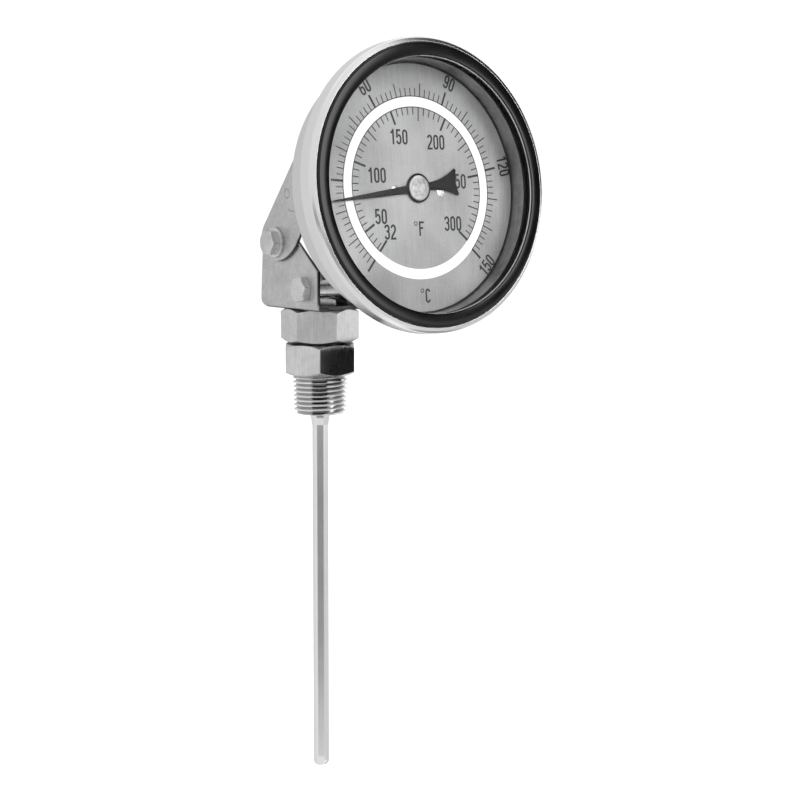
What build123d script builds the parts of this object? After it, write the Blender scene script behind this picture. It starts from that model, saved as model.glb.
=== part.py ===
from build123d import *
import os
from math import sin, cos, tan, pi, radians, sqrt

# Adjustable-angle bimetal dial thermometer, millimetres.
# Frame: origin on the stem axis at the small end of the process thread,
# +Z up along the stem, the dial faces -Y, the tilt hinge lies along X.

os.makedirs("parts", exist_ok=True)

# ---------------------------------------------------------------- dimensions
stem_d = 6.35            # 1/4 in stem
stem_wall = 0.6
stem_bottom = -145.9
tip_len = 4.0

npt_r0 = 10.36           # 1/2-14 NPT, major radius at the small end
npt_pitch = 25.4 / 14
npt_depth = 1.35
npt_taper = 1 / 32       # radius per millimetre
npt_len = 15.6

hex_af = 27.0
fit_hex_z0, fit_hex_z1 = 16.1, 28.0
nut_z0, nut_z1 = 28.8, 41.9
fit_hex_rot, nut_hex_rot = -4.3, 20.7
male_r, male_top = 11.0, 34.2    # fitting's upper thread inside the union nut
sleeve_r = 3.6                   # stem sleeve through the fitting
fit_bore_r = 3.65                # running fit on the stem sleeve

sheet = 1.5
yoke_x = 15.0            # outer half width of the yoke
yoke_y0, yoke_y1 = -20.2, 19.6
yoke_z0 = nut_z1
yoke_bend = 2.6
pivot_y, pivot_z = 6.0, 67.8
tie_y, tie_z = -11.2, 50.3
neck_r = 6.0
neck_top = 47.8
shaft_r = 1.2
shaft_end_r = 1.5

arm_gap = 0.1            # between yoke cheek and case bracket arm
arm_x = yoke_x + arm_gap + sheet
bolt_r = 2.5
bolt_af = 9.0
bolt_head = 3.3
washer_r, washer_t = 5.9, 1.2
pivot_clear = 0.05

dial_y, dial_z, dial_tilt = -62.42, 88.68, 5.4   # dial face centre, tilt upwards in degrees
case_back = -12.2        # distances below are along the dial normal, from the dial face
case_r = 46.8
case_wall = 0.8
bezel_r = 52.5
ring_ri, ring_ro = 45.3, 50.3
glass_h0, glass_h1 = 6.9, 9.1
dial_r = 44.9
pointer_angle = -97.4    # clockwise from up, pointer at rest
pointer_len = 38.3
pointer_shaft_end = -24.0

D = Location((0, dial_y, dial_z), (90 - dial_tilt, 0, 0))
MIN = (Align.CENTER, Align.CENTER, Align.MIN)


# ---------------------------------------------------------------- helpers
def rev(pts):
    """solid of revolution about Z from (radius, height) points"""
    return revolve(make_face(Polyline(*[(r, 0, z) for r, z in pts], close=True)), Axis.Z)


def rev_edges(edges):
    return revolve(make_face(edges), Axis.Z)


def cyl(r, z0, z1):
    return Pos(0, 0, z0) * Cylinder(r, z1 - z0, align=MIN)


def tube(ro, ri, z0, z1):
    return cyl(ro, z0, z1) - cyl(ri, z0 - 1, z1 + 1)


def hexagon(af, z0, z1, rot, cham0=0.0, cham1=0.0):
    """hexagonal prism, optionally with turned 30 degree chamfers at its ends"""
    rc = af / sqrt(3)
    body = Pos(0, 0, z0) * extrude(RegularPolygon(rc, 6, rotation=rot), z1 - z0)
    if cham0 or cham1:
        rf = af / 2 - 0.15
        dz = (rc + 0.4 - rf) * tan(radians(30))
        pts = [(0, z0), (rf if cham0 else rc + 0.4, z0)]
        if cham0:
            pts.append((rc + 0.4, z0 + dz * cham0))
        if cham1:
            pts += [(rc + 0.4, z1 - dz * cham1), (rf, z1)]
        else:
            pts.append((rc + 0.4, z1))
        pts.append((0, z1))
        body = body & rev(pts)
    return body


def along_x(shape, x0, y, z, direction=1):
    """place a shape built along +Z so that it runs along +X or -X from x0"""
    return Location((x0, y, z), (0, 90 * direction, 0)) * shape


def side_face(edges, x0, x1):
    """extrude an outline drawn in the YZ plane from x0 to x1"""
    f = make_face(edges)
    return Pos(x0, 0, 0) * extrude(f, x1 - x0, dir=(1, 0, 0))


def yz(y, z):
    return (0, y, z)


def one(shape):
    s = shape.solids()
    return s[0] if len(s) == 1 else Compound(children=list(s))


parts = {}

# ---------------------------------------------------------------- process connection
# Fitting: 1/2 NPT thread, hexagon, upper parallel thread for the union nut.
prof = [(fit_bore_r, 0.0), (npt_r0 - npt_depth, 0.0)]
z = 0.45
while z + npt_pitch < npt_len + 0.3:
    g = npt_taper * z
    prof += [(npt_r0 - npt_depth + g, z),
             (npt_r0 - (0.35 if z < 1 else 0.0) + g, z + npt_pitch * 0.42),
             (npt_r0 - (0.35 if z < 1 else 0.0) + g, z + npt_pitch * 0.58),
             (npt_r0 - npt_depth + g, z + npt_pitch)]
    z += npt_pitch
prof += [(npt_r0 - npt_depth + npt_taper * z, fit_hex_z0 - 0.2), (10.9, fit_hex_z0 - 0.2),
         (12.6, fit_hex_z0 + 0.2), (12.6, fit_hex_z0 + 1.0), (fit_bore_r, fit_hex_z0 + 1.0)]
thread = rev(prof)
fitting = thread + hexagon(hex_af, fit_hex_z0, fit_hex_z1, fit_hex_rot, 1, 1) \
    + cyl(male_r, fit_hex_z1 - 0.5, male_top)
fitting = fitting - cyl(fit_bore_r, -1, 60)
parts["process_fitting"] = fitting

# Union nut: bored over the fitting's upper thread, shoulder traps the neck flange.
flange_z0, flange_z1 = male_top + 0.8, male_top + 3.3
nut = hexagon(hex_af, nut_z0, nut_z1, nut_hex_rot, 1, 1)
nut = nut - cyl(male_r + 0.05, nut_z0 - 1, flange_z1 + 0.3) - cyl(neck_r + 0.06, 30, 50)
parts["union_nut"] = nut
parts["swivel_seal"] = tube(male_r - 0.5, 4.2, male_top, flange_z0 - 0.02)

# ---------------------------------------------------------------- stem, neck and yoke
stem_ri = stem_d / 2 - stem_wall
sleeve_z0 = -4.6                 # the stem tube ends here, butted to the sleeve
parts["stem_tube"] = tube(stem_d / 2, stem_ri, stem_bottom + tip_len, sleeve_z0)
parts["stem_tip_plug"] = rev([(0, stem_bottom), (stem_d / 2 - 0.9, stem_bottom),
                              (stem_d / 2 - 0.25, stem_bottom + 0.35),
                              (stem_d / 2, stem_bottom + 1.0), (stem_d / 2, stem_bottom + tip_len),
                              (stem_ri - 0.02, stem_bottom + tip_len),
                              (stem_ri - 0.02, stem_bottom + tip_len + 3),
                              (1.2, stem_bottom + tip_len + 3), (1.2, stem_bottom + tip_len + 7),
                              (0, stem_bottom + tip_len + 7)])
# sleeve: collar under the fitting, plain part in the fitting's bore, spigot in the stem tube
parts["stem_sleeve"] = rev([(1.9, sleeve_z0 - 2.0), (stem_ri - 0.01, sleeve_z0 - 2.0), (stem_ri - 0.01, sleeve_z0),
                            (stem_d / 2 + 0.12, sleeve_z0), (3.75, -1.4), (3.75, -0.35), (sleeve_r, -0.35),
                            (sleeve_r, flange_z0 + 1.0), (1.9, flange_z0 + 1.0)])

neck = cyl(male_r - 0.9, flange_z0, flange_z1) + cyl(neck_r, flange_z1 - 0.5, neck_top)
neck = neck - cyl(sleeve_r, flange_z0 - 1, flange_z0 + 1.0) - cyl(2.4, flange_z0, neck_top + 1)
parts["swivel_neck"] = neck
parts["neck_lock_nut"] = hexagon(19.0, yoke_z0 + sheet, yoke_z0 + sheet + 3.2, 30, 0, 1) \
    - cyl(neck_r, 40, 50)

# yoke: bent from one strip, cheeks shaped by the side outline
bend_in = yoke_bend - sheet
outer = Pos(0, (yoke_y0 + yoke_y1) / 2, yoke_z0) * Box(2 * yoke_x, yoke_y1 - yoke_y0, 60, align=MIN)
outer = fillet(outer.edges().filter_by(Axis.Y).sort_by(Axis.Z)[:2], yoke_bend)
inner = Pos(0, (yoke_y0 + yoke_y1) / 2, yoke_z0 + sheet) * Box(
    2 * (yoke_x - sheet), yoke_y1 - yoke_y0 + 2, 60, align=MIN)
inner = fillet(inner.edges().filter_by(Axis.Y).sort_by(Axis.Z)[:2], bend_in)
outline = [
    Line(yz(yoke_y0, yoke_z0 - 0.5), yz(yoke_y0, 57.4)),
    Line(yz(yoke_y0, 57.4), yz(1.0, 74.36)),
    ThreePointArc(yz(1.0, 74.36), yz(12.6, 74.0), yz(18.1, 65.2)),
    Line(yz(18.1, 65.2), yz(19.4, 46.0)),
    ThreePointArc(yz(19.4, 46.0), yz(18.4, 43.1), yz(15.4, 41.4)),
    Line(yz(15.4, 41.4), yz(yoke_y0, yoke_z0 - 0.5)),
]
yoke = (outer - inner) & side_face(outline, -20, 20)
notch = Pos(0, yoke_y0, yoke_z0) * Box(18.6, 14.0, 8, align=(Align.CENTER, Align.CENTER, Align.CENTER))
notch = fillet(notch.edges().filter_by(Axis.Z), 2.0)
yoke = yoke - notch - cyl(neck_r + 0.02, 40, 46)
for y, zz, r in ((pivot_y, pivot_z, bolt_r + 0.02), (tie_y, tie_z, bolt_r + 0.1)):
    yoke = yoke - along_x(Cylinder(r, 60), 0, y, zz)
parts["yoke_bracket"] = yoke


def hex_screw(head_x, length, y, zz, side, rot):
    """hexagon screw lying along X; its head's underside is at side*head_x, shank inwards"""
    body = hexagon(bolt_af, 0, bolt_head, rot, 0, 1) + cyl(bolt_r, -length, 0.5)
    return Location((side * head_x, y, zz), (0, 90 * side, 0)) * body


def hex_nut(face_x, y, zz, direction, rot, h=4.0):
    body = hexagon(bolt_af, 0, h, rot, 0, 1) - cyl(bolt_r, -1, h + 1)
    return Location((face_x, y, zz), (0, 90 * direction, 0)) * body


pivot_head_x = arm_x + washer_t
parts["pivot_screws"] = Compound(children=[
    one(hex_screw(pivot_head_x, pivot_head_x - (yoke_x - sheet - 5.0), pivot_y, pivot_z, s, 26 if s < 0 else 4))
    for s in (-1, 1)])
parts["pivot_washers"] = Compound(children=[
    one(along_x(tube(washer_r, bolt_r + 0.1, 0, washer_t), s * arm_x, pivot_y, pivot_z, s)) for s in (-1, 1)])
parts["pivot_nuts"] = Compound(children=[
    one(hex_nut(s * (yoke_x - sheet), pivot_y, pivot_z, -s, 20)) for s in (-1, 1)])
parts["tie_bolt"] = hex_screw(yoke_x, 2 * yoke_x + 5.0, tie_y, tie_z, -1, 39.5)
parts["tie_nut"] = hex_nut(yoke_x, tie_y, tie_z, 1, 9)
parts["tie_spacer"] = along_x(tube(3.5, bolt_r + 0.1, 0, 2 * (yoke_x - sheet)), -(yoke_x - sheet), tie_y, tie_z)

# ---------------------------------------------------------------- drive inside the stem
guide = [(-70.0, -67.0), (-10.0, -7.0)]
parts["stem_guide_bushes"] = Compound(children=[
    one(tube(stem_ri - 0.02, shaft_r + 0.05, a, b)) for a, b in guide])
parts["neck_bush"] = tube(2.38, shaft_r + 0.05, neck_top - 5.0, neck_top)
shaft_bottom = -88.0
flex_z0 = neck_top + 0.9
parts["stem_shaft"] = cyl(shaft_r, shaft_bottom, neck_top + 0.4) + cyl(shaft_end_r, neck_top + 0.3, flex_z0 + 3)

# bimetal helix: flat strip wound between the tip plug's peg and the shaft
hel_r, strip_t, strip_w, hel_pitch = 1.85, 0.45, 1.7, 2.6
hel_z0 = stem_bottom + tip_len + 4.2
hel_turns = 18
path = Helix(hel_pitch, hel_pitch * hel_turns, hel_r)
sec = Plane(path @ 0, z_dir=path % 0, x_dir=(1, 0, 0)) * Rectangle(strip_t, strip_w)
parts["bimetal_helix"] = Pos(0, 0, hel_z0) * sweep(sec, path=path, is_frenet=True)

# flexible coupling: closely wound spring from the stem shaft to the pointer shaft, its envelope
flex_ro, flex_ri, flex_bend = 2.4, 1.55, 30.0
e = radians(dial_tilt)
flex_h = pointer_shaft_end + 3.0
corner = Vector(0, 0, dial_z + dial_y * tan(e))
end = Vector(0, dial_y - flex_h * cos(e), dial_z + flex_h * sin(e))
start = Vector(0, 0, flex_z0)
tl = flex_bend * tan((pi / 2 - e) / 2)
t1 = corner - Vector(0, 0, tl)
t2 = corner + Vector(0, -cos(e), sin(e)) * tl
centre = t1 + Vector(0, -flex_bend, 0)
mid_dir = (corner - centre).normalized()
mid = centre + mid_dir * flex_bend
flex_path = Wire([Line(start, t1).edge(), ThreePointArc(t1, mid, t2).edge(), Line(t2, end).edge()])
ring = Plane(start, z_dir=(0, 0, 1)) * (Circle(flex_ro) - Circle(flex_ri))
parts["flex_coupling"] = sweep(ring, path=flex_path)

# ---------------------------------------------------------------- head: bracket and case
def dial_pt(u, h):
    return yz(dial_y + u * sin(e) - h * cos(e), dial_z + u * cos(e) + h * sin(e))


web_top, web_bot = 19.0, -17.0
a0 = (0, -6.5, 99.0)
a1 = (0, -10.9, 104.2)
t_rear = (0, pivot_y + 10.7 * 0.762, pivot_z + 10.7 * 0.647)
top_front = dial_pt(web_top, case_back)
bot_front = dial_pt(web_bot, case_back)
arm_outline = [
    Line(t_rear, a0), ThreePointArc(a0, (0, -9.5, 101.6), (0, -14.0, 103.6)),
    Line((0, -14.0, 103.6), top_front), Line(top_front, bot_front),
    Line(bot_front, (0, -16.5, 74.6)),
    ThreePointArc((0, -16.5, 74.6), (0, -12.6, 73.8), (0, -10.8, 71.9)),
    ThreePointArc((0, -10.8, 71.9), (0, 2.2, 61.2), (0, 15.2, 62.4)),
    ThreePointArc((0, 15.2, 62.4), (0, 16.65, 66.8), t_rear),
]
arm_r = side_face(arm_outline, arm_x - sheet, arm_x)
arm_l = side_face(arm_outline, -arm_x, -arm_x + sheet)
web = D * (Pos(0, (web_top + web_bot) / 2, case_back - sheet) * Box(2 * arm_x, web_top - web_bot, sheet, align=MIN))
bracket = arm_r + arm_l + web
bracket = bracket - D * cyl(6.0, case_back - sheet - 1, case_back + 1)
bracket = bracket - along_x(Cylinder(bolt_r + pivot_clear, 60), 0, pivot_y, pivot_z)
rivet_uv = [(-9.5, 12.0), (9.5, 12.0), (-9.5, -11.0), (9.5, -11.0)]
for x, y in rivet_uv:
    bracket = bracket - D * (Pos(x, y, 0) * cyl(1.52, case_back - 3, case_back + 1))
parts["case_bracket"] = bracket

case_in = case_back + case_wall
cup = rev_edges([
    Line((4.2, 0, case_back), (case_r - 2.6, 0, case_back)),
    ThreePointArc((case_r - 2.6, 0, case_back), (case_r - 0.76, 0, case_back + 0.76), (case_r, 0, case_back + 2.6)),
    Line((case_r, 0, case_back + 2.6), (case_r, 0, 2.6)),
    ThreePointArc((case_r, 0, 2.6), (case_r + 0.4, 0, 3.5), (case_r + 1.3, 0, 3.9)),
    Line((case_r + 1.3, 0, 3.9), (50.0, 0, 4.3)),
    ThreePointArc((50.0, 0, 4.3), (50.6, 0, 4.55), (50.85, 0, 5.15)),
    Line((50.85, 0, 5.15), (50.85, 0, 9.0)),
    Line((50.85, 0, 9.0), (50.0, 0, 9.0)),
    Line((50.0, 0, 9.0), (50.0, 0, 6.0)),
    Line((50.0, 0, 6.0), (case_r - case_wall, 0, 6.0)),
    Line((case_r - case_wall, 0, 6.0), (case_r - case_wall, 0, case_back + 2.6)),
    ThreePointArc((case_r - case_wall, 0, case_back + 2.6), (case_r - 1.3, 0, case_in + 0.5), (case_r - 2.6, 0, case_in)),
    Line((case_r - 2.6, 0, case_in), (4.2, 0, case_in)),
    Line((4.2, 0, case_in), (4.2, 0, case_back)),
])
for x, y in rivet_uv:
    cup = cup - Pos(x, y, 0) * cyl(1.52, case_back - 3, case_in + 1)
parts["case_cup"] = D * cup

# crimped bezel: rolled over the cup's flange at the back and over the black ring in front
bz = rev_edges([
    Line((48.9, 0, 2.7), (51.4, 0, 2.7)),
    ThreePointArc((51.4, 0, 2.7), (52.18, 0, 3.02), (bezel_r, 0, 3.8)),
    Line((bezel_r, 0, 3.8), (bezel_r, 0, 7.6)),
    ThreePointArc((bezel_r, 0, 7.6), (51.95, 0, 9.35), (50.5, 0, 10.25)),
    Line((50.5, 0, 10.25), (50.35, 0, 10.05)),
    Line((50.35, 0, 10.05), (50.35, 0, 9.06)),
    Line((50.35, 0, 9.06), (50.9, 0, 9.06)),
    Line((50.9, 0, 9.06), (50.9, 0, 5.1)),
    ThreePointArc((50.9, 0, 5.1), (50.62, 0, 4.5), (50.05, 0, 4.22)),
    Line((50.05, 0, 4.22), (48.9, 0, 4.05)),
    Line((48.9, 0, 4.05), (48.9, 0, 2.7)),
])
parts["bezel"] = D * bz

parts["trim_ring"] = D * rev_edges([
    Line((ring_ri, 0, glass_h1 + 0.02), (ring_ro, 0, glass_h1 + 0.02)),
    Line((ring_ro, 0, glass_h1 + 0.02), (ring_ro, 0, 10.2)),
    ThreePointArc((ring_ro, 0, 10.2), (49.7, 0, 10.75), (48.9, 0, 10.95)),
    Line((48.9, 0, 10.95), (46.3, 0, 10.95)),
    ThreePointArc((46.3, 0, 10.95), (45.6, 0, 10.75), (ring_ri, 0, 10.2)),
    Line((ring_ri, 0, 10.2), (ring_ri, 0, glass_h1 + 0.02)),
])
parts["window_glass"] = D * cyl(49.8, glass_h0, glass_h1)
parts["window_gasket"] = D * tube(49.8, 45.4, 6.03, glass_h0 - 0.02)
parts["spacer_ring"] = D * rev([(45.0, 0.03), (45.95, 0.03), (45.95, 6.0), (45.3, 6.0)])

# dial, its support and screws
dial = cyl(dial_r, -0.6, 0.0) - cyl(3.2, -1, 1)
screw_xy = [(-10.4, -1.1), (10.4, -1.1)]
for x, y in screw_xy:
    dial = dial - Pos(x, y, 0) * cyl(1.05, -1, 1)
parts["dial_plate"] = D * dial
sup = tube(17.0, 4.6, case_in + 0.02, case_in + 1.2) + tube(6.4, 4.6, case_in + 1.0, -7.2) \
    + tube(6.4, 2.8, -7.4, -5.6)
for x, y in screw_xy:
    sup = sup + Pos(x, y, 0) * cyl(2.1, case_in + 1.0, -0.62)
for x, y in screw_xy:
    sup = sup - Pos(x, y, 0) * cyl(0.98, -7.0, 0)
for x, y in rivet_uv:
    sup = sup - Pos(x, y, 0) * cyl(1.52, case_back - 1, case_in + 3)
parts["movement_support"] = D * sup
parts["dial_screws"] = D * Compound(children=[
    one(Pos(x, y, 0) * (cyl(1.9, 0.0, 0.35) + cyl(0.97, -5.5, 0.2) - (Pos(0, 0, 0.35) * Box(5, 0.45, 0.4))))
    for x, y in screw_xy])
parts["bracket_rivets"] = D * Compound(children=[
    one(Pos(x, y, 0) * (cyl(1.5, case_back - sheet - 0.1, case_in + 1.3)
                        + rev([(0, case_back - sheet - 1.3), (1.5, case_back - sheet - 1.15),
                               (2.5, case_back - sheet - 0.6), (2.8, case_back - sheet), (0, case_back - sheet)])
                        + cyl(2.4, case_in + 1.2, case_in + 1.9)))
    for x, y in rivet_uv])
front_bush = tube(2.78, shaft_end_r + 0.05, -8.4, -1.2) + tube(4.0, shaft_end_r + 0.05, -5.58, -4.6)
parts["pointer_bush"] = D * front_bush
rear_bush = tube(4.15, shaft_end_r + 0.05, case_back - 1.4, case_in + 1.0) \
    + tube(5.6, shaft_end_r + 0.05, case_back - 2.6, case_back - 1.52)
parts["case_bush"] = D * (rear_bush + tube(4.15, shaft_end_r + 0.05, case_back - 1.6, case_back - 1.2))

# ---------------------------------------------------------------- pointer
ang = -pointer_angle
pt_h0, pt_h1 = 0.45, 0.65
needle = make_face(Polyline((-2.1, 3.5), (-0.28, pointer_len - 0.3), (0, pointer_len), (0.28, pointer_len - 0.3),
                            (2.1, 3.5), (1.5, 0), (-1.5, 0), close=True))
tail = make_face([
    Line((-1.35, -3.0), (1.35, -3.0)),
    ThreePointArc((1.35, -3.0), (2.2, -11.0), (4.9, -17.2)),
    ThreePointArc((4.9, -17.2), (4.75, -17.9), (4.1, -18.2)),
    ThreePointArc((4.1, -18.2), (0, -17.5), (-4.1, -18.2)),
    ThreePointArc((-4.1, -18.2), (-4.75, -17.9), (-4.9, -17.2)),
    ThreePointArc((-4.9, -17.2), (-2.2, -11.0), (-1.35, -3.0)),
])
pointer_face = needle + tail + Circle(5.25) - Circle(1.55)
pointer = Pos(0, 0, pt_h0) * extrude(pointer_face, pt_h1 - pt_h0)
parts["pointer"] = D * (Rot(0, 0, ang) * pointer)
hub = rev([(0, pt_h1 + 0.01), (4.5, pt_h1 + 0.01), (4.5, pt_h1 + 0.24), (4.2, pt_h1 + 0.38), (0, pt_h1 + 0.44)])
parts["pointer_hub"] = D * hub
parts["pointer_shaft"] = D * (cyl(shaft_end_r, pointer_shaft_end, pt_h1)
                              + cyl(2.6, -0.9, pt_h0))

# ---------------------------------------------------------------- write
for name, shape in parts.items():
    s = one(shape)
    export_step(s, f"parts/{name}.step")
print(len(parts), "nodes written")
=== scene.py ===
import bpy, bmesh, math
import numpy as np
from mathutils import Matrix, Vector
from math import sin, cos, pi, radians, degrees, sqrt, hypot, atan2, tan, acos


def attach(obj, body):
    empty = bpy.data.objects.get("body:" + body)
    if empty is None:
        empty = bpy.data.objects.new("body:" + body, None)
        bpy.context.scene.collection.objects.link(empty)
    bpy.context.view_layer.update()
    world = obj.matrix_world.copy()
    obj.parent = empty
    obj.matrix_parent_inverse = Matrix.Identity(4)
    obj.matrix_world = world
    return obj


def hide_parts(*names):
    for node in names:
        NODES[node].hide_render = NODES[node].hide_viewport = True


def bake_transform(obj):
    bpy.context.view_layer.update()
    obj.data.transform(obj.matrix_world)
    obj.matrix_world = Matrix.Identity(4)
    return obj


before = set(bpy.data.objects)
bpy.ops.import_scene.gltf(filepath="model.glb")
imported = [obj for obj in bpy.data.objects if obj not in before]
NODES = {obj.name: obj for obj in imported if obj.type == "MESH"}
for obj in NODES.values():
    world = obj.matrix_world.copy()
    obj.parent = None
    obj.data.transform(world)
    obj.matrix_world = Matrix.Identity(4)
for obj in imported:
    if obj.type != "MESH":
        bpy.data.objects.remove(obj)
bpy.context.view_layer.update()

# ================================================================ camera
cam_data = bpy.data.cameras.new("camera")
cam_data.lens, cam_data.sensor_width = 67.5, 36.0
cam_data.clip_start, cam_data.clip_end = 0.02, 30.0
cam = bpy.data.objects.new("camera", cam_data)
bpy.context.scene.collection.objects.link(cam)
AZ, EL, ROLL = -0.65139, 0.1337, 0.00331
back = Vector((sin(AZ) * cos(EL), -cos(AZ) * cos(EL), sin(EL)))
right0 = Vector((cos(AZ), sin(AZ), 0.0))
up0 = Vector((-sin(AZ) * sin(EL), cos(AZ) * sin(EL), cos(EL)))
r_ = right0 * cos(ROLL) + up0 * sin(ROLL)
u_ = -right0 * sin(ROLL) + up0 * cos(ROLL)
M = Matrix(((r_.x, u_.x, back.x, -0.33490732), (r_.y, u_.y, back.y, -0.49194861),
            (r_.z, u_.z, back.z, 0.08508483), (0, 0, 0, 1)))
cam.matrix_world = M
bpy.context.scene.camera = cam
bpy.context.scene.view_settings.view_transform = "Standard"

# ================================================================ frames
TILT = 5.4
ORG = np.array((0.0, -62.42, 88.68))
e_ = radians(TILT)
DX = np.array((1.0, 0, 0))
DU = np.array((0, sin(e_), cos(e_)))
DN = np.array((0, -cos(e_), sin(e_)))


def dial_to_row(p):
    p = np.asarray(p, float)
    return ORG + p[:, :1] * DX + p[:, 1:2] * DU + p[:, 2:3] * DN


def same(p):
    return np.asarray(p, float)


# ================================================================ node helpers
def new_material(name):
    m = bpy.data.materials.new(name)
    m.use_nodes = True
    nt = m.node_tree
    for n in list(nt.nodes):
        nt.nodes.remove(n)
    out = nt.nodes.new("ShaderNodeOutputMaterial")
    b = nt.nodes.new("ShaderNodeBsdfPrincipled")
    nt.links.new(b.outputs[0], out.inputs[0])
    return m, nt, b, out


class G:
    """small helper for node trees"""

    def __init__(self, nt):
        self.nt = nt

    def node(self, kind, **kw):
        n = self.nt.nodes.new(kind)
        for k, v in kw.items():
            if k.startswith("in_"):
                continue
            setattr(n, k, v)
        return n

    def put(self, sock, v):
        if isinstance(v, bpy.types.NodeSocket):
            self.nt.links.new(v, sock)
        elif v is not None:
            sock.default_value = v

    def m(self, op, a, b=None, c=None, clamp=False):
        n = self.nt.nodes.new("ShaderNodeMath")
        n.operation = op
        n.use_clamp = clamp
        self.put(n.inputs[0], a)
        if b is not None:
            self.put(n.inputs[1], b)
        if c is not None:
            self.put(n.inputs[2], c)
        return n.outputs[0]

    def vm(self, op, a, b=None, out=0):
        n = self.nt.nodes.new("ShaderNodeVectorMath")
        n.operation = op
        self.put(n.inputs[0], a)
        if b is not None:
            self.put(n.inputs[1], b)
        return n.outputs[out]

    def ramp(self, v, a, b, lo=0.0, hi=1.0, smooth=True):
        n = self.nt.nodes.new("ShaderNodeMapRange")
        n.interpolation_type = "SMOOTHSTEP" if smooth else "LINEAR"
        n.clamp = True
        self.put(n.inputs[0], v)
        self.put(n.inputs[1], a)
        self.put(n.inputs[2], b)
        self.put(n.inputs[3], lo)
        self.put(n.inputs[4], hi)
        return n.outputs[0]

    def noise(self, vec, scale, detail=3.0, rough=0.5, out=0):
        n = self.nt.nodes.new("ShaderNodeTexNoise")
        self.put(n.inputs["Vector"], vec)
        self.put(n.inputs["Scale"], scale)
        self.put(n.inputs["Detail"], detail)
        self.put(n.inputs["Roughness"], rough)
        return n.outputs[out]

    def coord(self):
        return self.nt.nodes.new("ShaderNodeTexCoord").outputs["Object"]

    def scaled(self, vec, s):
        return self.vm("MULTIPLY", vec, s)

    def xyz(self, vec):
        n = self.nt.nodes.new("ShaderNodeSeparateXYZ")
        self.put(n.inputs[0], vec)
        return n.outputs[0], n.outputs[1], n.outputs[2]

    def combine(self, x, y, z):
        n = self.nt.nodes.new("ShaderNodeCombineXYZ")
        self.put(n.inputs[0], x)
        self.put(n.inputs[1], y)
        self.put(n.inputs[2], z)
        return n.outputs[0]

    def grey(self, v):
        """value to colour"""
        n = self.nt.nodes.new("ShaderNodeCombineColor")
        for i in range(3):
            self.put(n.inputs[i], v)
        return n.outputs[0]

    def bump(self, height, strength, distance, normal=None):
        n = self.nt.nodes.new("ShaderNodeBump")
        n.inputs["Strength"].default_value = strength
        n.inputs["Distance"].default_value = distance
        self.put(n.inputs["Height"], height)
        if normal is not None:
            self.put(n.inputs["Normal"], normal)
        return n.outputs[0]

    def dial_axes(self, vec):
        """object coordinates to (x, u, h) of the dial frame in metres"""
        d = self.vm("SUBTRACT", vec, tuple(ORG * 0.001))
        x = self.vm("DOT_PRODUCT", d, tuple(DX), out=1)
        u = self.vm("DOT_PRODUCT", d, tuple(DU), out=1)
        h = self.vm("DOT_PRODUCT", d, tuple(DN), out=1)
        return x, u, h


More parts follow.
